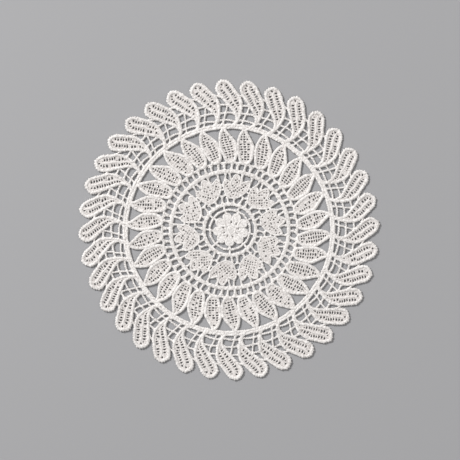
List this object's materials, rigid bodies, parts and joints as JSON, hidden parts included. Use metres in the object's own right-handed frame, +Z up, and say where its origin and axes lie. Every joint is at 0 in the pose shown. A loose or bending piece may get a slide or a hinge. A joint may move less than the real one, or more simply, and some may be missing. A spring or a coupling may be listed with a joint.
{
  "type": "lace doily",
  "caption": "Round white lace doily lying flat: a small flower in ring bands, lobed and pointed leaves, and a swirled edge of looped paddles.",
  "frame": {"origin": "middle of the underside, at the centre of the doily's outline", "axes": "+Z up out of the lace's face, X and Y in its plane"},
  "size_m": [0.2008, 0.2008, 0.0014],
  "materials": {
    "lace_thread": "warm white matt embroidery thread with a slight silky sheen"
  },
  "bodies": {
    "root": {"lace_doily": "lace_thread"}
  },
  "joints": []
}
